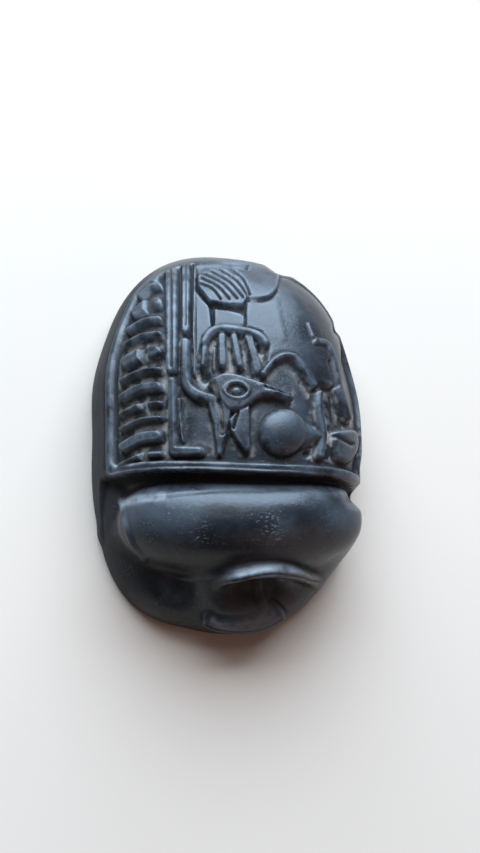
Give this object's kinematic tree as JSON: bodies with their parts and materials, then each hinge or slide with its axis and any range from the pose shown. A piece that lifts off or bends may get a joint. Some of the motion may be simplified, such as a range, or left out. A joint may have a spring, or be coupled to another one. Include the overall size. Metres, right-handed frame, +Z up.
{
  "type": "scarab amulet",
  "caption": "Large black stone scarab amulet: domed beetle with a carved relief panel on the wing cases, a deep groove, a smooth pronotum and a hooded head recess, on a flat base",
  "frame": {"origin": "centre of the bounding box in plan, on the plane of the flat underside", "axes": "+Z up from the flat underside, +Y from the head to the tail, so the head faces -Y, +X to the amulet's own left"},
  "size_m": [0.055, 0.0772, 0.0271],
  "materials": {
    "black_stone": "black stone, rubbed to a satin polish on the raised parts, with pale brown dust left in the cuts"
  },
  "bodies": {
    "root": {"scarab": "black_stone"}
  },
  "joints": []
}
